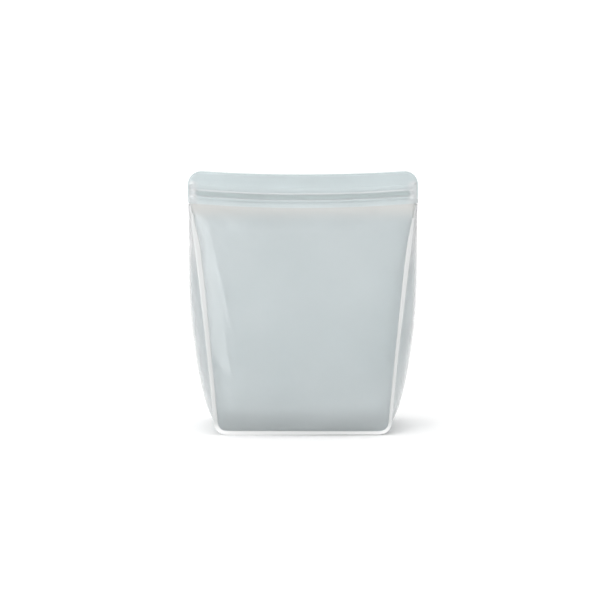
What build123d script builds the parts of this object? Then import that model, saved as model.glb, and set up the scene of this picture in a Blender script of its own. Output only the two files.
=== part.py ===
"""A stand-up storage bag of soft translucent film, closed along the top by a press zip.

Five film panels make the bag: front, back, two side gussets and a base. Each big panel is
welded to the gussets and the base along a raised U-shaped seam. Above the panels runs the
zip band: a tape with an arrow-shaped bead in front, a tape with two jaws behind, and a lip
over each. A weld at each end of the band holds the two halves together.

+X is to the right, +Y to the back and +Z up. The origin is the middle of the base, on the
surface that the bag stands on. Lengths are in millimetres.
"""

from build123d import *
import math
import os

# Overall sizes
BAG_WIDTH = 130.0  # across the zip band
BAG_HEIGHT = 147.0  # from the base to the top of the lips, at their ends
BASE_DEPTH = 58.0  # front to back across the base, over the seams
BASE_WIDTH = 101.0  # across the big panels at the base, over the seams

# Film panels
FILM = 0.6  # thickness of every panel and lip
WALL_BULGE = 8.0  # how far a big panel bows out from the straight line between its ends
SIDE_WAIST = 1.1  # how far a big panel's side edge bows in from a straight line
GUSSET_BULGE = 7.7  # how far a side gusset stands out past the seams, at most
GUSSET_SKEW = 0.75  # 1 puts that bulge at half height, and less puts it lower
BASE_RADIUS = 7.5  # where the base turns up into the sides

# Seams between the panels
SEAM_WIDTH = 2.6
SEAM_THICKNESS = 1.2
SEAM_GAP = 0.3  # between a seam, the panel inside it and the gusset behind it

# Zip band
TAPE_HEIGHT = 11.5
TAPE_THICKNESS = 0.6
LIP_HEIGHT = 6.5
LIP_DIP = 1.7  # how much lower the lips are at the middle
TOP_RADIUS = 8.0  # the band's two top corners
WELD_WIDTH = 4.5  # the weld at each end of the band
CLOSED_GAP = 2.0  # between the two tapes when the zip is closed
ZIP_CLEARANCE = 0.1  # between the arrow and the jaws' hooks
END_GAP = 0.3  # between a tape or lip and the weld at its end
FOLD_GAP = 0.3  # between a tape and the panel under it, or the lip over it

# The arrow-shaped bead and the jaws that hold it
ARROW_HEIGHT = 1.6
ARROW_LENGTH = 0.9
STEM_HEIGHT = 0.7
STEM_LENGTH = 1.0
JAW_THICKNESS = 0.5
JAW_LENGTH = 1.6
HOOK_DEPTH = 0.2
HOOK_LENGTH = 0.4
GUIDE_SPACING = 3.0  # from the bead to the guide rib on each side of it
GUIDE_HEIGHT = 0.5
GUIDE_DEPTH = 0.8

# Sizes that follow from those
BAND_HEIGHT = TAPE_HEIGHT + FOLD_GAP + LIP_HEIGHT
BAND_BOTTOM = BAG_HEIGHT - BAND_HEIGHT
TAPE_OUTSIDE = CLOSED_GAP / 2 + TAPE_THICKNESS
PANEL_TOP = BAND_BOTTOM - FOLD_GAP
ZIP_HEIGHT = BAND_BOTTOM + TAPE_HEIGHT / 2
TAPE_LENGTH = BAG_WIDTH - 2 * WELD_WIDTH - 2 * END_GAP
HALF_DEPTH = BASE_DEPTH / 2

# A big panel's outside is an arc in side view, from the base to the foot of the tape.
CHORD_RUN = HALF_DEPTH - TAPE_OUTSIDE
CHORD = math.hypot(CHORD_RUN, BAND_BOTTOM)
WALL_RADIUS = (CHORD**2 / 4 + WALL_BULGE**2) / (2 * WALL_BULGE)
TO_CENTRE = WALL_RADIUS - WALL_BULGE
WALL_CENTRE_Y = -(HALF_DEPTH + TAPE_OUTSIDE) / 2 + TO_CENTRE * BAND_BOTTOM / CHORD
WALL_CENTRE_Z = BAND_BOTTOM / 2 - TO_CENTRE * CHORD_RUN / CHORD

GUSSET_FOOT = 2 * BASE_RADIUS  # where the side gussets stand on the base panel's ends
GUSSET_TOP = BAND_BOTTOM - 2 * TAPE_OUTSIDE
GUSSET_LEVELS = 7


def wall_outside(z):
    """How far the outside of a big panel stands from the middle plane at height z."""
    return math.sqrt(WALL_RADIUS**2 - (z - WALL_CENTRE_Z) ** 2) - WALL_CENTRE_Y


def seam_half_width(z):
    """Half the width over the two side seams at height z, on the same arc as seam_outline's."""
    low, high = BASE_WIDTH / 2, BAG_WIDTH / 2
    share = (z - BASE_RADIUS) / (BAND_BOTTOM - BASE_RADIUS)
    return low + (high - low) * share - SIDE_WAIST * 4 * share * (1 - share)


def gusset_bulge(z):
    """How far a side gusset's middle stands out past the seams at height z."""
    return GUSSET_BULGE * math.sin(math.pi * (z / BAND_BOTTOM) ** GUSSET_SKEW)


def wall_skin(inner_offset, outer_offset=0.0):
    """A curved slab between two depths under the front panel's outside, wider than the bag."""
    centre = Pos(0, WALL_CENTRE_Y, WALL_CENTRE_Z) * Rot(0, 90, 0)
    outer = Cylinder(WALL_RADIUS - outer_offset, 2 * BAG_WIDTH)
    inner = Cylinder(WALL_RADIUS - inner_offset, 3 * BAG_WIDTH)
    return centre * (outer - inner)


def seam_outline(inset):
    """The front view's outline of a big panel, taken in by inset at its sides and its foot."""
    radius = BASE_RADIUS - inset if inset < BASE_RADIUS else 0
    half_foot = BASE_WIDTH / 2 - inset
    half_top = BAG_WIDTH / 2 - inset
    middle = (BASE_RADIUS + BAND_BOTTOM) / 2
    half_middle = seam_half_width(middle) - inset
    right = ThreePointArc((half_foot, BASE_RADIUS), (half_middle, middle), (half_top, BAND_BOTTOM))
    left = mirror(right, Plane.YZ)
    top = Line((half_top, BAND_BOTTOM), (-half_top, BAND_BOTTOM))
    foot = Line((-half_foot + radius, inset), (half_foot - radius, inset))
    corners = [
        RadiusArc((side * (half_foot - radius), inset), (side * half_foot, BASE_RADIUS), -side * radius)
        for side in (1, -1)
    ]
    return Plane.XZ * make_face([right, top, left, foot, *corners])


def front_only(outline, top):
    """A prism through the front half of the bag, on an outline drawn in the front view."""
    prism = extrude(outline, BASE_DEPTH)
    return prism & Pos(0, -BASE_DEPTH / 2, top / 2) * Box(2 * BAG_WIDTH, BASE_DEPTH, top)


def big_panel():
    """The front panel, inside its seam."""
    return wall_skin(FILM) & front_only(seam_outline(SEAM_WIDTH + SEAM_GAP), PANEL_TOP)


def big_seam():
    """The U-shaped weld down both sides of the front panel and along its foot."""
    ring = front_only(seam_outline(0), PANEL_TOP)
    hole = front_only(seam_outline(SEAM_WIDTH), BAND_BOTTOM)
    return wall_skin(SEAM_THICKNESS) & (ring - hole)


def inside_space():
    """The space between the two seams, where the gussets and the base lie."""
    reach = WALL_RADIUS - SEAM_THICKNESS - SEAM_GAP
    front = Pos(0, WALL_CENTRE_Y, WALL_CENTRE_Z) * Rot(0, 90, 0) * Cylinder(reach, 2 * BAG_WIDTH)
    return front & mirror(front, Plane.XZ)


def gusset_section(z):
    """A slice of the right gusset at height z: a thin crescent that bows outwards."""
    edge, middle = seam_half_width(z), seam_half_width(z) + gusset_bulge(z)
    reach = wall_outside(z)
    outer = ThreePointArc((edge, -reach), (middle, 0), (edge, reach))
    inner = ThreePointArc((edge - FILM, -reach), (middle - FILM, 0), (edge - FILM, reach))
    ends = [Line((edge, side * reach), (edge - FILM, side * reach)) for side in (-1, 1)]
    return Pos(0, 0, z) * make_face([outer, inner, *ends])


def side_gusset():
    """The right gusset, from the base panel's end up to the foot of the zip band."""
    step = (GUSSET_TOP - GUSSET_FOOT - SEAM_GAP) / (GUSSET_LEVELS - 1)
    levels = [GUSSET_FOOT + SEAM_GAP + n * step for n in range(GUSSET_LEVELS)]
    return loft([gusset_section(z) for z in levels]) & inside_space()


def base_panel():
    """The base: flat in the middle, with both ends turned up to meet the side gussets."""
    outside = seam_outline(0)
    inside = seam_outline(FILM)
    turned_up = Pos(0, 0, GUSSET_FOOT / 2) * Box(2 * BAG_WIDTH, 2 * BASE_DEPTH, GUSSET_FOOT)
    strip = extrude(outside - inside, BASE_DEPTH, both=True)
    return strip & turned_up & inside_space()


def band_outline():
    """The front view's outline of the zip band, with its rounded corners and dipping top."""
    half, top = BAG_WIDTH / 2, BAG_HEIGHT
    shoulder = half - TOP_RADIUS
    edge = [
        Line((-half, BAND_BOTTOM), (half, BAND_BOTTOM)),
        Line((half, BAND_BOTTOM), (half, top - TOP_RADIUS)),
        RadiusArc((half, top - TOP_RADIUS), (shoulder, top), -TOP_RADIUS),
        ThreePointArc((shoulder, top), (0, top - LIP_DIP), (-shoulder, top)),
        RadiusArc((-shoulder, top), (-half, top - TOP_RADIUS), -TOP_RADIUS),
        Line((-half, top - TOP_RADIUS), (-half, BAND_BOTTOM)),
    ]
    return extrude(Plane.XZ * make_face(edge), BASE_DEPTH, both=True)


def front_lip():
    """The strip of film over the front tape, which the fingers pull."""
    foot = BAND_BOTTOM + TAPE_HEIGHT + FOLD_GAP
    strip = Box(TAPE_LENGTH, FILM, LIP_HEIGHT, align=(Align.CENTER, Align.MIN, Align.MIN))
    return Pos(0, -TAPE_OUTSIDE, foot) * strip & band_outline()


def end_weld():
    """The right end of the band, where both halves are pressed into one block."""
    block = Box(WELD_WIDTH, 2 * TAPE_OUTSIDE, BAND_HEIGHT, align=(Align.MAX, Align.CENTER, Align.MIN))
    return Pos(BAG_WIDTH / 2, 0, BAND_BOTTOM) * block & band_outline()


def along_band(profile):
    """Runs a side-view profile, drawn with the zip's own line at (0, 0), along the band."""
    return Pos(0, 0, ZIP_HEIGHT) * extrude(Plane.YZ * profile, TAPE_LENGTH / 2, both=True)


def block(start, end, height, middle=0.0):
    """A side-view rectangle from one distance behind the middle plane to another."""
    return Pos((start + end) / 2, middle) * Rectangle(abs(end - start), height)


def guide_ribs(face, direction):
    """The two small ribs that keep the tapes apart, above and below the bead."""
    tip = face + direction * GUIDE_DEPTH
    upper = block(face, tip, GUIDE_HEIGHT, GUIDE_SPACING)
    lower = block(face, tip, GUIDE_HEIGHT, -GUIDE_SPACING)
    return upper + lower


def front_track():
    """The front tape with its arrow-shaped bead."""
    face = -CLOSED_GAP / 2
    neck = face + STEM_LENGTH
    arrow = make_face(Polyline(
        (neck, ARROW_HEIGHT / 2),
        (neck + ARROW_LENGTH, STEM_HEIGHT / 4),
        (neck + ARROW_LENGTH, -STEM_HEIGHT / 4),
        (neck, -ARROW_HEIGHT / 2),
        close=True,
    ))
    tape = block(-TAPE_OUTSIDE, face, TAPE_HEIGHT)
    return along_band(tape + block(face, neck, STEM_HEIGHT) + arrow + guide_ribs(face, 1))


def back_track():
    """The back tape with the two hooked jaws that close round the arrow."""
    face = CLOSED_GAP / 2
    hook_inside = ARROW_HEIGHT / 2 + ZIP_CLEARANCE
    jaw_inside = hook_inside + HOOK_DEPTH
    profile = block(face, TAPE_OUTSIDE, TAPE_HEIGHT)
    for side in (1, -1):
        jaw_height = HOOK_DEPTH + JAW_THICKNESS
        profile += block(face, face - JAW_LENGTH, JAW_THICKNESS, side * (jaw_inside + JAW_THICKNESS / 2))
        profile += block(
            face - JAW_LENGTH,
            face - JAW_LENGTH + HOOK_LENGTH,
            jaw_height,
            side * (hook_inside + jaw_height / 2),
        )
    return along_band(profile)


def build():
    """Every node's solid, by name."""
    panel, seam, lip = big_panel(), big_seam(), front_lip()
    gusset, weld = side_gusset(), end_weld()
    return {
        "front_panel": panel,
        "back_panel": mirror(panel, Plane.XZ),
        "front_seam": seam,
        "back_seam": mirror(seam, Plane.XZ),
        "right_gusset": gusset,
        "left_gusset": mirror(gusset, Plane.YZ),
        "base_panel": base_panel(),
        "front_track": front_track(),
        "back_track": back_track(),
        "front_lip": lip,
        "back_lip": mirror(lip, Plane.XZ),
        "right_end_weld": weld,
        "left_end_weld": mirror(weld, Plane.YZ),
    }


os.makedirs("parts", exist_ok=True)
for name, solid in build().items():
    export_step(solid, f"parts/{name}.step")
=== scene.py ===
# %% [markdown]
# # A stand-up storage bag of frosted silicone film
#
# The bag is five panels of thin, milky film. Two big panels face front and back, two gussets
# bow out at the sides, and a strip makes the base. Raised U-shaped welds join them, and a
# press zip closes the top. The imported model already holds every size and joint. This lesson
# dresses it with real film: curved skins a fraction of a millimetre thick, welded edges swept
# along their paths, and a material that blurs what is behind it and still shines.

import math

import bpy
import numpy as np
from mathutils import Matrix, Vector


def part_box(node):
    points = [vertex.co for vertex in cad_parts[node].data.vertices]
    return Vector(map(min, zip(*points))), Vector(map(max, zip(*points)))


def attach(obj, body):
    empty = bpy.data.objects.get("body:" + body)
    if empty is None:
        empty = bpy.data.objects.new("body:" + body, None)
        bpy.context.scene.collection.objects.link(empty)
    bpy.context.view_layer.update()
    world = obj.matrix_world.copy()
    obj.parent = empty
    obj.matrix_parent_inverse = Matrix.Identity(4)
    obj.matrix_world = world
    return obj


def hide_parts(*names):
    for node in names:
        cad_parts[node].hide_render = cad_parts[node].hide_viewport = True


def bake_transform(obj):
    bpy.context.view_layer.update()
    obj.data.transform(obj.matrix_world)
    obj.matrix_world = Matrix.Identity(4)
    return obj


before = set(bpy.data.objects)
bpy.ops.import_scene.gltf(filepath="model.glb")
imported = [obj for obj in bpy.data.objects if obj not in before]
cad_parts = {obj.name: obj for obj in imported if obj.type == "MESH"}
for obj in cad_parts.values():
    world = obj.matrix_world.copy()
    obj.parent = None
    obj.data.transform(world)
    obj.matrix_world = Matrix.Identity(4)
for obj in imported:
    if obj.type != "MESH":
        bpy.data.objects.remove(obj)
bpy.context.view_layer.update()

# %% [markdown]
# ## Sizes
#
# The zip band is placed from the imported parts' own boxes. The other sizes of the bag's form are
# named here in metres. The first group repeats the CAD's, so a change there has to be made here
# too. The second group was chosen to match the photo.

# %% Sizes read from the imported parts
MM = 0.001
tape_low, tape_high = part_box("front_track")
weld_low, weld_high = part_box("right_end_weld")

BAND_HALF = weld_high.x  # half the width of the zip band
TRACK_HALF = weld_low.x  # from the middle to where an end weld begins
BAND_FOOT = tape_low.z
TAPE_TOP = tape_high.z
BAND_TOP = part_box("front_lip")[1].z
ZIP_HEIGHT = (BAND_FOOT + TAPE_TOP) / 2
TAPE_OUTSIDE = -tape_low.y  # from the middle plane to the outside of the tape
print(f"zip band {2000 * BAND_HALF:.1f} mm wide, {1000 * (BAND_TOP - BAND_FOOT):.1f} mm tall")

# %% Sizes of the film and its curves
FACES = ((-1, "front"), (1, "back"))  # which way each face looks along y, and its name
HANDS = ((-1, "left"), (1, "right"))  # the same along x

# These repeat sizes of the CAD.
FILM = 0.6 * MM
BASE_HALF_DEPTH = 29.0 * MM
BASE_HALF_WIDTH = 50.5 * MM
BASE_RADIUS = 7.5 * MM
TOP_RADIUS = 8.0 * MM
WALL_BULGE = 8.0 * MM
SIDE_WAIST = 1.1 * MM
SEAM_WIDTH = 2.6 * MM
SEAM_THICKNESS = 1.2 * MM
GUSSET_BULGE = 7.7 * MM

# These were chosen.
BELLY = 2.3 * MM  # how far a big panel's middle swells past its seams
FOOT_BELLY = 3.0 * MM  # how much more it swells just over its foot
FOOT_RUN = 16.0 * MM
FOOT_STEP = 3.0 * MM  # the run over which it leaves its bottom weld
SHOULDER = 1.8 * MM  # how far it steps out close to a seam
SHOULDER_RUN = 7.0 * MM
FOLD = 0.7 * MM  # the height of the soft folds that run in from the ends of the zip
FOLD_OFFSET = 15.0 * MM  # how far in a fold lies from the diagonal through the band's end
FOLD_WIDTH = 5.0 * MM
RIPPLE = 0.10 * MM  # the film's faint waves
LIP_DIP = 2.4 * MM  # how far the lips sag at the middle
FOOT_DIP = 2.8 * MM  # how far the band's foot sags there
WANDER = 0.4 * MM  # how far the band strays front to back
WANDER_LENGTH = 95.0 * MM

# %% [markdown]
# ## The bag's form
#
# In side view each big panel is one arc from the base to the zip. In front view the seams
# draw in towards the base. Four short functions hold that form, and every piece asks them
# where it lies, so panels, welds and gussets meet without gaps.

# %% The form as functions of height
chord_run = BASE_HALF_DEPTH - TAPE_OUTSIDE
chord = math.hypot(chord_run, BAND_FOOT)
wall_radius = (chord**2 / 4 + WALL_BULGE**2) / (2 * WALL_BULGE)
to_centre = wall_radius - WALL_BULGE
WALL_CENTRE_Y = to_centre * BAND_FOOT / chord - (BASE_HALF_DEPTH + TAPE_OUTSIDE) / 2
WALL_CENTRE_Z = BAND_FOOT / 2 - to_centre * chord_run / chord


def wall_depth(z):
    """How far a big panel's outside stands from the middle plane at height z."""
    return np.sqrt(wall_radius**2 - (z - WALL_CENTRE_Z) ** 2) - WALL_CENTRE_Y


def seam_half(z):
    """Half the width over the side seams at height z."""
    share = (z - BASE_RADIUS) / (BAND_FOOT - BASE_RADIUS)
    straight = BASE_HALF_WIDTH + (BAND_HALF - BASE_HALF_WIDTH) * share
    return straight - SIDE_WAIST * 4 * share * (1 - share)


def outline_half(z, inset):
    """Half the width of the seam's outline taken in by inset, round corners and all."""
    radius = BASE_RADIUS - inset
    rise = np.clip(BASE_RADIUS - z, 0.0, radius)
    corner = BASE_HALF_WIDTH - BASE_RADIUS + np.sqrt(radius**2 - rise**2)
    return np.where(z < BASE_RADIUS, corner, seam_half(z) - inset)


def gusset_swell(z):
    """How far a gusset's middle stands out past the seams at height z."""
    return GUSSET_BULGE * np.sin(np.pi * np.clip(z / BAND_FOOT, 0.0, 1.0) ** 0.75)


print(f"a big panel's side view is an arc of radius {1000 * wall_radius:.0f} mm")

# %% [markdown]
# ## Settling
#
# Soft film never hangs dead straight. The zip band sags a little between its two end welds,
# and wanders slightly front to back. One function bends the finished meshes the same way,
# so neighbours stay together. The base lies below the height where it starts.


# %% Settle a mesh
def smooth(low, high, value):
    """0 below low, 1 above high and a smooth rise between."""
    t = np.clip((value - low) / (high - low), 0.0, 1.0)
    return t * t * (3 - 2 * t)


def settled(points):
    """Lets an array of points sag and wander as the zip band does."""
    x, y, z = points.T
    middle = np.clip(1 - (x / BAND_HALF) ** 2, 0.0, 1.0)
    down = np.clip((BAND_TOP - z) / (BAND_TOP - BAND_FOOT), 0.0, 1.0)
    hold = smooth(0.35 * BAND_FOOT, BAND_FOOT, z)
    sag = (LIP_DIP + (FOOT_DIP - LIP_DIP) * down) * middle * hold
    wander = WANDER * np.sin(2 * np.pi * x / WANDER_LENGTH + 0.7) * middle * hold
    return np.stack([x, y + wander, z - sag], axis=1)


def settle(piece):
    """Applies settled() to a finished mesh."""
    mesh = piece.data
    flat = np.empty(len(mesh.vertices) * 3)
    mesh.vertices.foreach_get("co", flat)
    mesh.vertices.foreach_set("co", settled(flat.reshape(-1, 3)).ravel())
    mesh.update()
    return piece


# %% [markdown]
# ## The frosted film
#
# Silicone film scatters light on its way through, so what lies behind it turns to a soft
# blur, yet its skin is smooth and throws clear highlights. A Principled shader says both:
# rough transmission for the blur, and a thin clear coat for the shine. Noise read from
# Object coordinates varies the tint and the haze so that no patch is quite like another.


# %% Material helpers
def new_material(name):
    """A material with a node tree, and its Principled node."""
    material = bpy.data.materials.new(name)
    material.use_nodes = True
    return material, material.node_tree, material.node_tree.nodes["Principled BSDF"]


def noise(tree, scale, detail=2.0, stretch=(1, 1, 1)):
    """A noise pattern on the piece's own coordinates. scale is in waves per metre."""
    place = tree.nodes.new("ShaderNodeTexCoord")
    mapping = tree.nodes.new("ShaderNodeMapping")
    mapping.inputs["Scale"].default_value = stretch
    pattern = tree.nodes.new("ShaderNodeTexNoise")
    pattern.inputs["Scale"].default_value = scale
    pattern.inputs["Detail"].default_value = detail
    tree.links.new(place.outputs["Object"], mapping.inputs["Vector"])
    tree.links.new(mapping.outputs["Vector"], pattern.inputs["Vector"])
    return pattern.outputs["Fac"]


def ramp(tree, value, low, high):
    """Turns a pattern's middle range into a number from low to high."""
    spread = tree.nodes.new("ShaderNodeMapRange")
    spread.inputs["From Min"].default_value = 0.3
    spread.inputs["From Max"].default_value = 0.7
    spread.inputs["To Min"].default_value = low
    spread.inputs["To Max"].default_value = high
    tree.links.new(value, spread.inputs["Value"])
    return spread.outputs["Result"]


def tint(tree, value, dark, light):
    """Mixes two colours by a pattern."""
    mix = tree.nodes.new("ShaderNodeMix")
    mix.data_type = "RGBA"
    mix.inputs["A"].default_value = (*dark, 1)
    mix.inputs["B"].default_value = (*light, 1)
    tree.links.new(ramp(tree, value, 0.0, 1.0), mix.inputs["Factor"])
    return mix.outputs["Result"]


def bump(tree, shader, height, strength, distance):
    """Raises the surface by a pattern, on top of any bump it already has."""
    node = tree.nodes.new("ShaderNodeBump")
    node.inputs["Strength"].default_value = strength
    node.inputs["Distance"].default_value = distance
    tree.links.new(height, node.inputs["Height"])
    if shader.inputs["Normal"].is_linked:
        tree.links.new(shader.inputs["Normal"].links[0].from_socket, node.inputs["Normal"])
    tree.links.new(node.outputs["Normal"], shader.inputs["Normal"])


def blend_colour(tree, colour, other, amount):
    """Mixes a fixed colour into a linked one by a linked amount."""
    mix = tree.nodes.new("ShaderNodeMix")
    mix.data_type = "RGBA"
    mix.inputs["B"].default_value = (*other, 1)
    tree.links.new(amount, mix.inputs["Factor"])
    tree.links.new(colour, mix.inputs["A"])
    return mix.outputs["Result"]


def span(tree, value, start, end, kind="LINEAR"):
    """A number that goes from 0 where value is start to 1 where it is end."""
    node = tree.nodes.new("ShaderNodeMapRange")
    node.interpolation_type = kind
    node.inputs["From Min"].default_value = start
    node.inputs["From Max"].default_value = end
    tree.links.new(value, node.inputs["Value"])
    return node.outputs["Result"]


def silicone(name, dark, light, clearness, haze, gloss=1.0, waves=0.12, painted_light_zone=None):
    """Milky silicone. clearness is the share of light that passes, haze its two roughnesses.

    gloss is the weight of its coat, and waves how strongly its surface undulates.
    The last argument is painted light: a colour that the piece takes on between two heights,
    with the height where it starts and the height where it is full.
    """
    material, tree, shader = new_material(name)
    shader.inputs["IOR"].default_value = 1.41
    shader.inputs["Transmission Weight"].default_value = clearness
    shader.inputs["Coat Weight"].default_value = gloss
    shader.inputs["Coat Roughness"].default_value = 0.03
    shader.inputs["Coat IOR"].default_value = 1.45
    colour = tint(tree, noise(tree, scale=28, detail=7), dark, light)
    # A band of painted light between two heights.
    if painted_light_zone is not None:
        other, start, end = painted_light_zone
        place = tree.nodes.new("ShaderNodeTexCoord")
        axes = tree.nodes.new("ShaderNodeSeparateXYZ")
        tree.links.new(place.outputs["Object"], axes.inputs["Vector"])
        amount = span(tree, axes.outputs["Z"], start, end, "SMOOTHSTEP")
        colour = blend_colour(tree, colour, other, amount)
    tree.links.new(colour, shader.inputs["Base Color"])
    tree.links.new(ramp(tree, noise(tree, scale=60, detail=4), *haze), shader.inputs["Roughness"])
    grain = noise(tree, scale=2600)
    bump(tree, shader, grain, strength=0.08, distance=0.05 * MM)
    swells = noise(tree, scale=70, stretch=(1, 1, 0.6))
    bump(tree, shader, swells, strength=waves, distance=0.25 * MM)
    return material


def paint_marks_and_highlights(material, pale, dull):
    """Turns a finish pale where the pressed attribute is above 0, and dull where it is below; much
    of the pale is painted highlight.
    """
    tree = material.node_tree
    shader = tree.nodes["Principled BSDF"]
    pressed = tree.nodes.new("ShaderNodeAttribute")
    pressed.attribute_name = "pressed"
    colour = shader.inputs["Base Color"].links[0].from_socket
    colour = blend_colour(tree, colour, pale, span(tree, pressed.outputs["Fac"], 0.0, 1.0))
    colour = blend_colour(tree, colour, dull, span(tree, pressed.outputs["Fac"], 0.0, -1.0))
    tree.links.new(colour, shader.inputs["Base Color"])


# %% The finishes
FILM_DARK, FILM_LIGHT, FILM_CLEAR = (0.735, 0.785, 0.795), (0.79, 0.835, 0.845), 0.78
FILM_HAZE = (0.30, 0.42)
WELD_HAZE = (0.34, 0.46)
# Painted light: a warm pale glow painted on the big panels just under the zip band.
painted_glow_under_band = ((0.86, 0.865, 0.85), BAND_FOOT - 11 * MM, BAND_FOOT - 2 * MM)
# Painted light: the gussets' upper part is painted paler, to lift the shade it lies in.
painted_light_gusset_top = ((0.97, 0.975, 0.98), BAND_FOOT - 45 * MM, BAND_FOOT - 20 * MM)
# Painted light: the seam welds are painted near white close to the floor, to lift the shade there.
painted_light_weld_foot = ((0.97, 0.97, 0.97), 8 * MM, 2 * MM)
film_finish = silicone(
    "frosted film", FILM_DARK, FILM_LIGHT, FILM_CLEAR, FILM_HAZE, painted_light_zone=painted_glow_under_band
)
gusset_finish = silicone(
    "gusset film", FILM_DARK, FILM_LIGHT, FILM_CLEAR, FILM_HAZE, painted_light_zone=painted_light_gusset_top
)
weld_finish = silicone(
    "welded edge", (0.615, 0.63, 0.63), (0.665, 0.68, 0.68), 0.12, WELD_HAZE, painted_light_zone=painted_light_weld_foot
)
# The crushed ends' own pale finish; the base strip wears it too, as painted light.
crush_and_painted_light_finish = silicone(
    "crushed end", (0.94, 0.96, 0.965), (0.97, 0.985, 0.985), 0.8, WELD_HAZE
)
tape_finish = silicone(
    "zip tape", (0.785, 0.84, 0.85), (0.84, 0.895, 0.905), 0.8, (0.30, 0.40), waves=0.04
)
# Pale marks, much of them painted highlights, and a dull line where the zip lies behind.
paint_marks_and_highlights(tape_finish, (0.98, 0.99, 0.995), (0.87, 0.94, 0.94))
rim_finish = silicone(
    "cut edge", (0.50, 0.575, 0.58), (0.56, 0.635, 0.64), 0.0, (0.25, 0.35)
)
bead_finish = silicone(
    "zip bead", (0.72, 0.83, 0.83), (0.78, 0.88, 0.88), 0.4, (0.30, 0.40), gloss=0.3
)
print("finishes:", [m.name for m in bpy.data.materials if m.users == 0])

# %% [markdown]
# ## Skins
#
# A film panel is a grid laid on a formula: one number runs across it and one runs up. The
# grid is doubled one film thickness inwards along its own normals, so that light really
# enters and leaves a solid skin. An edge is left open only where a skin meets the next one.


# %% Lay a skin on a formula
def add_piece(mesh, finish):
    """Puts a finished mesh in the scene under its own name."""
    mesh.materials.clear()
    mesh.materials.append(finish)
    mesh.polygons.foreach_set("use_smooth", [True] * len(mesh.polygons))
    piece = bpy.data.objects.new(mesh.name, mesh)
    bpy.context.scene.collection.objects.link(piece)
    return piece


def inwards(outside, thickness):
    """The grid's own copy, one thickness in along its normals."""
    normal = np.cross(np.gradient(outside, axis=1), np.gradient(outside, axis=0))
    length = np.linalg.norm(normal, axis=2, keepdims=True)
    return outside - normal / np.maximum(length, 1e-12) * thickness


def skin(name, form, across, up, finish, closed="left right foot top", inside_form=None):
    """A skin with its outside on form(across, up), which turn anticlockwise seen from outside."""
    u, v = np.meshgrid(across, up)
    outside = form(u, v)
    inside = inwards(outside, FILM) if inside_form is None else inside_form(u, v)
    rows, columns = u.shape
    count = rows * columns
    points = np.concatenate([outside.reshape(-1, 3), inside.reshape(-1, 3)])
    at = np.arange(count).reshape(rows, columns)
    a, b, c, d = at[:-1, :-1], at[:-1, 1:], at[1:, 1:], at[1:, :-1]
    faces = np.stack([a, b, c, d], axis=-1).reshape(-1, 4).tolist()
    faces += (np.stack([d, c, b, a], axis=-1).reshape(-1, 4) + count).tolist()
    edges = {"foot": at[0], "right": at[:, -1], "top": at[-1][::-1], "left": at[:, 0][::-1]}
    for side in closed.split():
        line = edges[side]
        pairs = zip(line[:-1].tolist(), line[1:].tolist())
        faces += [(q, p, p + count, q + count) for p, q in pairs]
    mesh = bpy.data.meshes.new(name)
    mesh.from_pydata(points.tolist(), [], faces)
    mesh.update()
    return add_piece(mesh, finish)


def spaced(start, end, step):
    """Even steps of about step, both ends included."""
    return np.linspace(start, end, max(2, round(abs(end - start) / step) + 1))


# %% [markdown]
# ## The front and back panels
#
# Each big panel swells like a slim pillow, most near its foot, and it overhangs the bottom
# weld a little. It is made as a left and a right half, which meet down the middle; on the real
# bag each half opens along its own slanting fold, from the end of the zip down to the middle of the
# foot.


# %% The big panels
def swell(u, z):
    """How far a big panel stands out past the plain arc, at u (-1..1) across and height z."""
    share = np.clip((z - SEAM_WIDTH) / (BAND_FOOT - SEAM_WIDTH), 0.0, 1.0)
    full = 1 - share
    up = share * (BAND_FOOT - SEAM_WIDTH)
    rise = 1 - np.exp(-up / FOOT_STEP)
    from_seam = np.maximum((1 - np.abs(u)) * outline_half(z, SEAM_WIDTH / 2) - SEAM_WIDTH / 2, 0.0)
    belly = BELLY * full * (1 - np.abs(u) ** 2.4)
    broad = 1 + 0.7 * full  # the shoulder is broadest at the foot
    step = 1 - np.exp(-from_seam / (SHOULDER_RUN * broad))
    shoulder = SHOULDER * broad * step * smooth(0.0, 0.10, full)
    foot = FOOT_BELLY * np.exp(-up / FOOT_RUN) * (1 - np.exp(-from_seam / (5 * MM)))
    return rise * (belly + shoulder + foot * (0.45 + 0.55 * u**2))


def corner_folds(x, z):
    """The soft diagonal folds that run in and down from both ends of the zip."""
    height = np.zeros_like(x)
    for hand, strength, reach in ((-1, 1.0, 64 * MM), (1, 0.6, 50 * MM)):
        out = BAND_HALF - x * hand
        down = BAND_FOOT - z
        along = (out + down) / math.sqrt(2)
        off = (out - down) / math.sqrt(2) - FOLD_OFFSET
        fade = smooth(8 * MM, 24 * MM, along) * (1 - smooth(0.35 * reach, reach, along))
        ridge = np.exp(-((off / FOLD_WIDTH) ** 2))
        height += FOLD * strength * fade * smooth(0, 6 * MM, down) * ridge
    return height


def crease(x, z):
    """A faint line that runs down beside the left weld."""
    down = np.clip((112 * MM - z) / (62 * MM), 0.0, 1.0)
    line = -51.5 * MM + 14.5 * MM * down**1.1
    return 0.16 * MM * np.exp(-(((x - line) / (1.1 * MM)) ** 2)) * np.sin(np.pi * down)


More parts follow.
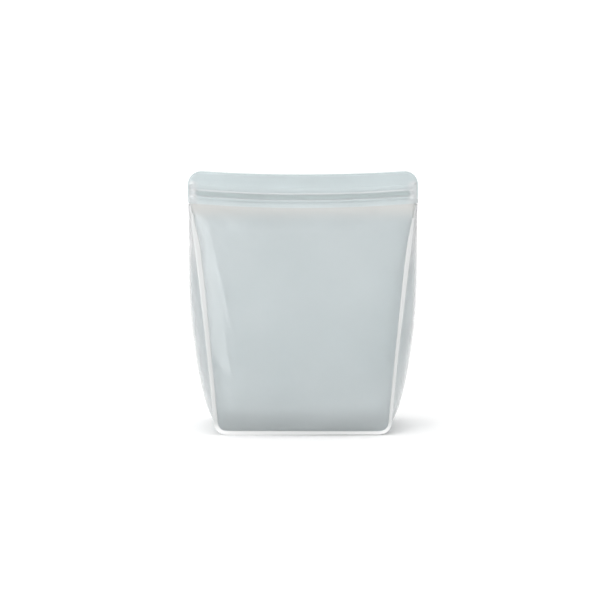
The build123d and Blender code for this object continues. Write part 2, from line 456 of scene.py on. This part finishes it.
def panel_form(side):
    """The front (side -1) or back (side 1) panel's outside, from (-1..1, 0..1)."""

    def form(u, v):
        z = SEAM_WIDTH / 2 + v * (BAND_FOOT - SEAM_WIDTH / 2)
        x = u * outline_half(z, SEAM_WIDTH / 2)
        share = z / BAND_FOOT
        window = np.sin(np.pi * share) * (1 - u**4)
        waves = np.sin(x / (13 * MM) + z / (31 * MM) + side) + np.sin(z / (11 * MM) - x / (24 * MM))
        clear = wall_depth(z) - TAPE_OUTSIDE
        depth = TAPE_OUTSIDE + clear**2 / (np.abs(clear) + 0.3 * MM)
        depth = depth + swell(u, z) + corner_folds(x, z) + crease(x, z) + RIPPLE * waves * window
        return np.stack([x, side * depth, z], axis=-1)

    return form


def panel_half(name, side, half):
    """One half of a big panel: half is -1 on the left and 1 on the right."""
    across = spaced(min(half, 0), max(half, 0), 0.015)[::-side]
    closed = "foot left" if half * side > 0 else "foot right"
    return settle(skin(name, panel_form(side), across, spaced(0, 1, 0.009), film_finish, closed))


panels = {}
for side, face in FACES:
    for half, hand in HANDS:
        panels[face, hand] = panel_half(f"{face}_panel_{hand}", side, half)
print("panel halves:", [p.name for p in panels.values()])

# %% [markdown]
# ## The welded edges
#
# Along each seam two films are pressed together into a flat, paler rib. A rib that follows a
# path is a job for Geometry Nodes: a rounded rectangle is swept along the seam, and it is
# held square to the panel by pointing the curve's normal away from the panel's own centre.
# Each point of the path carries its own size, because in the photo the seams look wider in
# some places than in others.


# %% Geometry Nodes helpers
def new_tree(name, inputs):
    """A node tree with a Geometry input and output and the given named inputs."""
    tree = bpy.data.node_groups.new(name, "GeometryNodeTree")
    tree.interface.new_socket("Geometry", in_out="INPUT", socket_type="NodeSocketGeometry")
    for label, kind in inputs.items():
        tree.interface.new_socket(label, in_out="INPUT", socket_type=f"NodeSocket{kind}")
    tree.interface.new_socket("Geometry", in_out="OUTPUT", socket_type="NodeSocketGeometry")
    return tree, tree.nodes.new("NodeGroupInput"), tree.nodes.new("NodeGroupOutput")


def path_curve(name, points, sizes=None):
    """A straight-segment curve through the points. sizes scales what is swept along it."""
    data = bpy.data.curves.new(name, "CURVE")
    data.dimensions = "3D"
    line = data.splines.new("POLY")
    line.points.add(len(points) - 1)
    line.points.foreach_set("co", [c for p in points for c in (*p, 1.0)])
    if sizes is not None:
        line.points.foreach_set("radius", sizes)
    curve = bpy.data.objects.new(name, data)
    bpy.context.scene.collection.objects.link(curve)
    return curve


def run_tree(curve, tree, values):
    """Runs a tree on a curve and returns the plain mesh it makes."""
    modifier = curve.modifiers.new(tree.name, "NODES")
    modifier.node_group = tree
    sockets = {s.name: s.identifier for s in tree.interface.items_tree if s.in_out == "INPUT"}
    for label, value in values.items():
        modifier[sockets[label]] = value
    graph = bpy.context.evaluated_depsgraph_get()
    mesh = bpy.data.meshes.new_from_object(curve.evaluated_get(graph))
    curve.modifiers.remove(modifier)
    bpy.data.objects.remove(curve)
    return mesh


def finish_sweep(tree, given, made, section, path, corner_points):
    """Rounds a section, sweeps it along a path and paints the result. Returns the sweep node."""
    rounding = tree.nodes.new("GeometryNodeFilletCurve")
    rounding.mode = "POLY"
    rounding.inputs["Count"].default_value = corner_points
    sweep = tree.nodes.new("GeometryNodeCurveToMesh")
    sweep.inputs["Fill Caps"].default_value = True
    realize = tree.nodes.new("GeometryNodeRealizeInstances")
    paint = tree.nodes.new("GeometryNodeSetMaterial")
    link = tree.links.new
    link(section, rounding.inputs["Curve"])
    link(given.outputs["Edge Radius"], rounding.inputs["Radius"])
    link(path, sweep.inputs["Curve"])
    link(rounding.outputs["Curve"], sweep.inputs["Profile Curve"])
    link(sweep.outputs["Mesh"], realize.inputs["Geometry"])
    link(realize.outputs["Geometry"], paint.inputs["Geometry"])
    link(given.outputs["Finish"], paint.inputs["Material"])
    link(paint.outputs["Geometry"], made.inputs["Geometry"])
    return sweep


# %% The tree that sweeps a welded edge
weld_tree, given, made = new_tree(
    "Welded edge",
    {
        "Width": "Float",
        "Thickness": "Float",
        "Edge Radius": "Float",
        "Panel Centre": "Vector",
        "Finish": "Material",
    },
)
section = weld_tree.nodes.new("GeometryNodeCurvePrimitiveQuadrilateral")
position = weld_tree.nodes.new("GeometryNodeInputPosition")
away = weld_tree.nodes.new("ShaderNodeVectorMath")
away.operation = "SUBTRACT"
flatten = weld_tree.nodes.new("ShaderNodeVectorMath")
flatten.operation = "MULTIPLY"
flatten.inputs[1].default_value = (0, 1, 1)
aim = weld_tree.nodes.new("GeometryNodeSetCurveNormal")
aim.mode = "FREE"
size = weld_tree.nodes.new("GeometryNodeInputRadius")
link = weld_tree.links.new
link(given.outputs["Thickness"], section.inputs["Width"])
link(given.outputs["Width"], section.inputs["Height"])
link(position.outputs["Position"], away.inputs[0])
link(given.outputs["Panel Centre"], away.inputs[1])
link(away.outputs["Vector"], flatten.inputs[0])
link(flatten.outputs["Vector"], aim.inputs["Normal"])
link(given.outputs["Geometry"], aim.inputs["Curve"])
sweep = finish_sweep(
    weld_tree, given, made, section.outputs["Curve"], aim.outputs["Curve"], corner_points=3
)
link(size.outputs["Radius"], sweep.inputs["Scale"])


# %% Sweep the two U-shaped seams
def seam_size(x, z):
    """How wide a seam is at x and z, as a share of SEAM_WIDTH: widest high up on the left."""
    grown = 1 + 0.4 * smooth(0.3 * BAND_FOOT, 0.8 * BAND_FOOT, z)
    ending = 1 - 0.68 * smooth(BAND_FOOT - 24 * MM, BAND_FOOT - 2 * MM, z)
    slimmer = 1 - 0.2 * smooth(-30 * MM, 30 * MM, x)
    return float(grown * ending * slimmer)


def seam_path(side):
    """Points and sizes down one side, round the foot and up the other."""
    inset = SEAM_WIDTH / 2
    top = BAND_FOOT + 0.3 * MM
    heights = spaced(BASE_RADIUS, top, 2.5 * MM)
    right = [(float(outline_half(z, inset)), z) for z in heights]
    radius = BASE_RADIUS - inset
    turn = np.linspace(0, -math.pi / 2, 9)[1:]
    centre_x = BASE_HALF_WIDTH - BASE_RADIUS
    corner = [(centre_x + radius * math.cos(a), BASE_RADIUS + radius * math.sin(a)) for a in turn]
    half = right[::-1] + corner
    foot = [(x, inset) for x in np.linspace(centre_x, -centre_x, 30)[1:-1]]
    outline = half + foot + [(-x, z) for x, z in half[::-1]]
    sizes = [seam_size(x, z) for x, z in outline]
    points = []
    for (x, z), size in zip(outline, sizes):
        shift = inset * max(size - 1, 0)  # a wider seam still ends at the outline
        y = side * float(wall_depth(z) - SEAM_THICKNESS / 2)
        points.append((x - math.copysign(shift, x), y, z))
    return points, sizes


seams = {}
for side, face in FACES:
    mesh = run_tree(
        path_curve(f"{face} seam path", *seam_path(side)),
        weld_tree,
        {
            "Width": SEAM_WIDTH,
            "Thickness": SEAM_THICKNESS,
            "Edge Radius": 0.45 * MM,
            "Panel Centre": (0, -side * WALL_CENTRE_Y, WALL_CENTRE_Z),
            "Finish": weld_finish,
        },
    )
    mesh.name = f"{face}_seam_weld"
    seams[face] = settle(add_piece(mesh, weld_finish))
print("seam welds:", {k: len(p.data.polygons) for k, p in seams.items()})

# %% [markdown]
# ## The side gussets and the base
#
# Each gusset leaves the inner edge of one weld, bows out past it and returns to the other,
# with a soft ridge down its middle where the flat bag was folded. It runs right down round
# the bottom corner, so that only the flat of the base is left to the base strip.

# %% The side gussets
GUSSET_LOW = 1.2 * MM
GUSSET_INSET = 1.7 * MM
RIDGE = 0.5 * MM


def gusset_form(hand):
    """A gusset's outside: hand is 1 on the right and -1 on the left."""

    def form(u, v):
        z = GUSSET_LOW + v * (BAND_FOOT - 0.6 * MM - GUSSET_LOW)
        reach = wall_depth(z) - SEAM_THICKNESS + 0.3 * MM
        edge = outline_half(z, GUSSET_INSET)
        low = smooth(0, 14 * MM, z)  # close to the corner the film can't bow out
        bow = (gusset_swell(z) + GUSSET_INSET * low) * (1 - np.abs(u) ** 2.3)
        ridge = RIDGE * np.exp(-np.abs(u) / 0.10) * np.sin(np.pi * v) * low
        waves = RIPPLE * np.sin(z / (9 * MM) + 3 * u) * (1 - u**2) * np.sin(np.pi * v)
        return np.stack([hand * (edge + bow + ridge + waves), u * reach, z], axis=-1)

    return form


gussets = {}
for hand, word in HANDS:
    across = spaced(-1, 1, 0.04) * hand
    gussets[word] = settle(
        skin(f"{word}_gusset_film", gusset_form(hand), across, spaced(0, 1, 0.012), gusset_finish)
    )
print("gussets:", [g.name for g in gussets.values()])


# %% The base
def base_form(u, v):
    """The underside of the base strip, seen from below: u runs right, v from back to front."""
    bottom = outline_half(np.array(GUSSET_LOW), 0.0)
    x = u * bottom
    past = np.clip(np.abs(x) - (BASE_HALF_WIDTH - BASE_RADIUS), 0.0, BASE_RADIUS)
    z = BASE_RADIUS - np.sqrt(BASE_RADIUS**2 - past**2)
    y = (1 - 2 * v) * (BASE_HALF_DEPTH - SEAM_THICKNESS + 0.3 * MM)
    return np.stack([x, y, z], axis=-1)


# The base takes the crushed ends' pale finish as painted light, to lift the shade on its under-turn
# by the floor.
base = skin("base_film", base_form, spaced(-1, 1, 0.025), spaced(0, 1, 0.05), crush_and_painted_light_finish)
print("base film:", len(base.data.polygons), "faces")

# %% [markdown]
# ## The zip band
#
# Inside the band runs the zip. The front tape carries an arrow-shaped bead, the back one a
# pair of hooked jaws, and small guide ribs sit above and below. All of them are bars along
# one line, so one tree sweeps each bar from its height, depth and place.

# %% The tree that sweeps a bar along the band
bar_tree, given, made = new_tree(
    "Bar along the band",
    {
        "Foot Height": "Float",
        "Tip Height": "Float",
        "Depth": "Float",
        "Edge Radius": "Float",
        "Finish": "Material",
    },
)
section = bar_tree.nodes.new("GeometryNodeCurvePrimitiveQuadrilateral")
section.mode = "TRAPEZOID"
section.inputs["Offset"].default_value = 0.0
turn_section = bar_tree.nodes.new("GeometryNodeTransform")
turn_section.inputs["Rotation"].default_value = (0, 0, -math.pi / 2)
aim = bar_tree.nodes.new("GeometryNodeSetCurveNormal")
aim.mode = "FREE"
aim.inputs["Normal"].default_value = (0, 1, 0)
link = bar_tree.links.new
link(given.outputs["Foot Height"], section.inputs["Bottom Width"])
link(given.outputs["Tip Height"], section.inputs["Top Width"])
link(given.outputs["Depth"], section.inputs["Height"])
link(section.outputs["Curve"], turn_section.inputs["Geometry"])
link(given.outputs["Geometry"], aim.inputs["Curve"])
finish_sweep(
    bar_tree, given, made, turn_section.outputs["Geometry"], aim.outputs["Curve"], corner_points=2
)


# %% Make the tracks
def bar(half, start, end, height, rise=0.0, tip=None, radius=0.1 * MM):
    """Half a bar's mesh, from start to end behind the middle plane. tip is its height at end."""
    steps = spaced(0, TRACK_HALF, 1.5 * MM)
    line = [(half * x, (start + end) / 2, ZIP_HEIGHT + rise) for x in steps]
    values = {
        "Foot Height": height,
        "Tip Height": height if tip is None else tip,
        "Depth": end - start,
        "Edge Radius": radius,
        "Finish": bead_finish,
    }
    return run_tree(path_curve("bar path", line[::half]), bar_tree, values)


def join(name, meshes, finish):
    """One piece from several meshes, left open at the middle where its two halves meet."""
    points, faces = [], []
    for mesh in meshes:
        shift = len(points)
        points += [tuple(v.co) for v in mesh.vertices]
        for face in mesh.polygons:
            if any(abs(mesh.vertices[i].co.x) > 1e-6 for i in face.vertices):
                faces.append([i + shift for i in face.vertices])
    whole = bpy.data.meshes.new(name)
    whole.from_pydata(points, [], faces)
    whole.update()
    return settle(add_piece(whole, finish))


HALF_GAP = 1.0 * MM  # from the middle plane to the inside of a tape
GUIDE_RISE = 3.0 * MM  # how far each guide rib is from the middle of the zip
JAW_RISE = 1.35 * MM
HOOK_RISE = 1.25 * MM
tracks = {"front": [], "back": []}
for half, hand in HANDS:
    bead = [
        bar(half, -HALF_GAP - 0.05 * MM, -0.7 * MM, height=1.6 * MM, rise=0.1 * MM),  # its foot
        bar(half, -0.8 * MM, 0.1 * MM, height=0.7 * MM),  # its stem
        bar(half, 0.0, 0.9 * MM, height=1.6 * MM, tip=0.35 * MM),  # its arrowhead
    ]
    guides, jaws, hooks = [], [], []
    for up in (-1, 1):
        guides.append(bar(half, -HALF_GAP - 0.1 * MM, -0.2 * MM, 0.5 * MM, up * GUIDE_RISE))
        jaws.append(bar(half, -0.6 * MM, 1.1 * MM, 0.5 * MM, up * JAW_RISE))
        hooks.append(bar(half, -0.6 * MM, -0.2 * MM, 0.7 * MM, up * HOOK_RISE))
    tracks["front"] += [
        join(f"front_bead_{hand}", bead, bead_finish),
        join(f"front_guides_{hand}", guides, tape_finish),
    ]
    tracks["back"] += [join(f"back_jaws_{hand}", jaws + hooks, tape_finish)]
print("track pieces:", [p.name for pieces in tracks.values() for p in pieces])

# %% [markdown]
# ## The tapes, the lips and the end welds
#
# Outside, each side of the band is one smooth skin: the tape, with fine raised lines pressed
# along it, and above it the lip to pull on. At both ends the two sides are crushed together
# with the zip between them, and the pressing leaves small dents, which are painted pale as
# highlights. The zip shows through each side as a duller line. The skin carries that line,
# the pale lines beside it, painted as highlights, and the paler crushed ends, partly painted
# highlight, as an attribute that its finish reads. A thin cut edge runs along the lips, round
# their corners and down the ends of the band.


# %% One side of the band
# A rise is a height over the middle of the zip, in mm.
RIDGES = {5.3: 0.06, -2.9: 0.05, -4.1: 0.04}  # rise: how tall, in mm
# The pale lines at 2.0 and -1.6, beside the zip's line, are painted highlights.
LINES = {4.6: -0.12, 3.0: -0.18, 2.0: 1.0, -1.6: 0.5, -2.9: -0.12, -4.1: -0.12}  # rise: shade
DENTS = ((2.4, 5.6, 0.45), (3.2, 1.4, 0.5), (2.7, -2.0, 0.45))  # mm from the end, rise, mm tall


def band_half(z):
    """Half the width of the zip band at height z, with its round top corners."""
    past = np.clip(z - (BAND_TOP - TOP_RADIUS), 0.0, TOP_RADIUS)
    return BAND_HALF - TOP_RADIUS + np.sqrt(TOP_RADIUS**2 - past**2)


def band_form(side):
    """The outside of one side of the band, from -1..1 across and a height."""

    def form(u, z):
        x = u * band_half(z)
        from_end = BAND_HALF - np.abs(x)
        rise = (z - ZIP_HEIGHT) / MM
        out = TAPE_OUTSIDE - 0.35 * MM * smooth(TAPE_TOP, BAND_TOP, z)
        out -= 0.3 * MM * (1 - smooth(0.0, 3 * MM, from_end)) * smooth(0, 2 * MM, z - BAND_FOOT)
        pressed = smooth(2.5 * MM, 8 * MM, from_end)
        for middle, tall in RIDGES.items():
            out += tall * MM * pressed * np.exp(-(((rise - middle) / 0.33) ** 2))
        for end, middle, tall in DENTS:
            spot = ((from_end / MM - end) / 1.1) ** 2 + ((rise - middle) / 0.9) ** 2
            out += tall * MM * np.exp(-spot)
        return np.stack([x, side * out, z], axis=-1)

    return form


def marks_and_painted_highlights(x, z):
    """How pale (up to 1) or dull (down to -1) the band is at x and z: the zip's line is dull, and
    the pale lines beside it and the pale dents are painted highlights.
    """
    from_end = (BAND_HALF - np.abs(x)) / MM
    rise = (z - ZIP_HEIGHT) / MM - 0.5 * (x / BAND_HALF) ** 2
    marks = np.zeros_like(x)
    for middle, shade in LINES.items():
        marks += shade * smooth(4.5, 8, from_end) * np.exp(-(((rise - middle) / 0.36) ** 2))
    marks -= smooth(3.2, 6.0, from_end) * (1 - smooth(0.8, 1.15, np.abs(rise - 0.15)))
    # The crushed ends: their own paler tone, with a painted highlight on it.
    marks += 0.6 * (1 - smooth(3.5, 7.0, from_end)) * (1 - smooth(5.0, 7.0, np.abs(rise)))
    # The dents: painted highlights.
    for end, middle, _ in DENTS:
        marks += 0.6 * np.exp(-(((from_end - end) / 1.2) ** 2) - ((rise - middle) / 0.9) ** 2)
    return np.clip(marks, -1.0, 1.0)


def band_skin(name, side, half, heights, closed, finish):
    """Half of a tape or a lip. It is left open where it meets its neighbours."""
    edges = np.concatenate([spaced(0, 0.85, 0.03), spaced(0.86, 1, 0.01)])
    across = half * edges if half * side < 0 else half * edges[::-1]
    outer = "left" if half * side > 0 else "right"
    piece = skin(name, band_form(side), across, heights, finish, f"{closed} {outer}")
    flat = np.empty(len(piece.data.vertices) * 3)
    piece.data.vertices.foreach_get("co", flat)
    pressed = piece.data.attributes.new("pressed", "FLOAT", "POINT")
    pressed.data.foreach_set("value", marks_and_painted_highlights(flat[0::3], flat[2::3]))
    return settle(piece)


tape_heights = spaced(BAND_FOOT, TAPE_TOP, 0.17 * MM)
start_angle = math.asin((TAPE_TOP - BAND_TOP + TOP_RADIUS) / TOP_RADIUS)
lip_heights = BAND_TOP - TOP_RADIUS * (1 - np.sin(np.linspace(start_angle, math.pi / 2, 14)))
lips = {}  # the skins and rims of each lip
for side, face in FACES:
    for half, hand in HANDS:
        tape = band_skin(f"{face}_tape_{hand}", side, half, tape_heights, "", tape_finish)
        tracks[face].append(tape)
        lip = band_skin(f"{face}_lip_{hand}", side, half, lip_heights, "top", tape_finish)
        lips[face, hand] = [lip]
print("lips:", [p.name for pieces in lips.values() for p in pieces])


# %% The cut edge round the lips
def rim_path(half, side):
    """Points and sizes from the middle of a lip's top, round its corner and down the band."""
    flat = BAND_HALF - TOP_RADIUS
    angles = np.linspace(0, math.pi / 2, 12)[1:]
    top = [(x / flat, BAND_TOP) for x in spaced(0, flat, 1 * MM)]
    turn = [(1.0, BAND_TOP - TOP_RADIUS * (1 - math.cos(a))) for a in angles]
    down = [(1.0, z) for z in spaced(turn[-1][1], BAND_FOOT, 1 * MM)[1:]]
    across, heights = np.array(top + turn + down).T
    line = band_form(side)(half * across, heights)
    line[:, 1] -= side * FILM / 2
    sizes = 0.35 + 0.65 * smooth(BAND_FOOT, BAND_FOOT + 6 * MM, heights)
    return line.tolist(), sizes.tolist()


for side, face in FACES:
    for half, hand in HANDS:
        mesh = run_tree(
            path_curve("rim path", *rim_path(half, side)),
            weld_tree,
            {
                "Width": 0.5 * MM,
                "Thickness": FILM + 0.3 * MM,
                "Edge Radius": 0.2 * MM,
                "Panel Centre": (0, -side * 100.0, 0),
                "Finish": rim_finish,
            },
        )
        lips[face, hand].append(join(f"{face}_rim_{hand}", [mesh], rim_finish))
print("lips and rims:", [p.name for pieces in lips.values() for p in pieces])


# %% The end welds
def weld_form(hand, side):
    """The front or back face of the crushed core of an end weld."""

    def form(u, z):
        x = TRACK_HALF + u * (band_half(z) - 0.4 * MM - TRACK_HALF)
        return np.stack([hand * x, side * (0.9 * MM - 0.3 * MM * smooth(0.5, 1.0, u)), z], axis=-1)

    return form


welds = {}
for hand, word in HANDS:
    across = spaced(0, 1, 0.1)[::hand]
    heights = spaced(BAND_FOOT, TAPE_TOP, 0.5 * MM)
    inside = weld_form(hand, 1)
    name = f"{word}_end_weld_core"
    core = skin(name, weld_form(hand, -1), across, heights, crush_and_painted_light_finish, inside_form=inside)
    welds[word] = settle(core)
print("end welds:", [p.name for p in welds.values()])

# %% [markdown]
# ## What each piece moves with
#
# The welds, the seams and the base are held by the shell. The other pieces take the place of
# the CAD parts that they stand for, which are hidden, and their placing is baked into their
# points. When the zip of the real bag is pulled open, each big panel folds out along a slanting
# line from the zip's end to the middle of its foot.


for hand, word in HANDS:
    for face in ("front", "back"):
        moving = [p for p in tracks[face] if p.name.endswith(word)]
        for piece in moving:
            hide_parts(f"{face}_track")
        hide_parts(f"{face}_panel")
        for piece in lips[face, word]:
            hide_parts(f"{face}_lip")
        for piece in (*moving, panels[face, word], *lips[face, word]):
            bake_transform(piece)
    side = gussets[word]
    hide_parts(f"{word}_gusset")
    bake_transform(side)
    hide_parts(f"{word}_end_weld")
    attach(welds[word], "shell")
for face, piece in seams.items():
    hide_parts(f"{face}_seam")
    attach(piece, "shell")
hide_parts("base_panel")
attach(base, "shell")

# %% [markdown]
# ## The studio
#
# A white floor, a pale sky, brighter overhead and on the left, and a tall softbox at the front.
# The darker horizon is what makes the film look glossy: its foot mirrors the floor and its
# wall mirrors the room, and the line between them shows how the film curves.

# %% Floor, sky and lamps
floor_mesh = bpy.data.meshes.new("floor")
REACH = 20.0
corners = [(x * REACH, y * REACH, 0) for x, y in ((-1, -1), (1, -1), (1, 1), (-1, 1))]
floor_mesh.from_pydata(corners, [], [(0, 1, 2, 3)])
floor_finish, _, floor_shader = new_material("floor paint")
floor_shader.inputs["Base Color"].default_value = (0.98, 0.98, 0.98, 1)
floor_shader.inputs["Roughness"].default_value = 0.9
add_piece(floor_mesh, floor_finish)

HORIZON, OVERHEAD = 0.60, 1.30  # the sky's brightness
ON_LEFT, ON_RIGHT = 1.22, 0.78  # and its factors to either side
scene = bpy.context.scene
scene.view_settings.view_transform = "Standard"
world = bpy.data.worlds.new("studio")
scene.world = world
world.use_nodes = True
sky = world.node_tree
background = sky.nodes["Background"]
direction = sky.nodes.new("ShaderNodeTexCoord")
axes = sky.nodes.new("ShaderNodeSeparateXYZ")
fade = sky.nodes.new("ShaderNodeMapRange")
fade.inputs["From Min"].default_value = 0.0
fade.inputs["From Max"].default_value = 0.7
fade.inputs["To Min"].default_value = HORIZON
fade.inputs["To Max"].default_value = OVERHEAD
sideways = sky.nodes.new("ShaderNodeMapRange")
sideways.inputs["From Min"].default_value = -1.0
sideways.inputs["To Min"].default_value = ON_LEFT
sideways.inputs["To Max"].default_value = ON_RIGHT
both = sky.nodes.new("ShaderNodeMath")
both.operation = "MULTIPLY"
sky.links.new(direction.outputs["Generated"], axes.inputs["Vector"])
sky.links.new(axes.outputs["Z"], fade.inputs["Value"])
sky.links.new(axes.outputs["X"], sideways.inputs["Value"])
sky.links.new(fade.outputs["Result"], both.inputs[0])
sky.links.new(sideways.outputs["Result"], both.inputs[1])
sky.links.new(both.outputs["Value"], background.inputs["Strength"])
background.inputs["Color"].default_value = (1, 1, 1, 1)


def softbox(name, place, aim_at, width, tall, watts):
    """A rectangular lamp that faces a point."""
    lamp = bpy.data.lights.new(name, "AREA")
    lamp.shape = "RECTANGLE"
    lamp.size = width
    lamp.size_y = tall
    lamp.energy = watts
    holder = bpy.data.objects.new(name, lamp)
    holder.location = place
    holder.rotation_euler = (Vector(aim_at) - Vector(place)).to_track_quat("-Z", "Y").to_euler()
    scene.collection.objects.link(holder)


softbox("key softbox", (-0.57, -1.02, 0.68), (0, 0, 0.08), width=0.50, tall=1.34, watts=4)

# %% The camera
ELEVATION = math.radians(8)
DISTANCE = 1.8
FIELD = 0.342  # how wide the view is at the bag
aim_at = Vector((-1.7 * MM, 0, 73.0 * MM))  # the middle of the view
lens = bpy.data.cameras.new("camera")
lens.sensor_width = 36
lens.lens = 36 * DISTANCE / FIELD
camera = bpy.data.objects.new("camera", lens)
camera.location = aim_at + Vector((0, -math.cos(ELEVATION), math.sin(ELEVATION))) * DISTANCE
camera.rotation_euler = (aim_at - camera.location).to_track_quat("-Z", "Y").to_euler()
scene.collection.objects.link(camera)
scene.camera = camera
print("camera", tuple(round(c, 3) for c in camera.location))
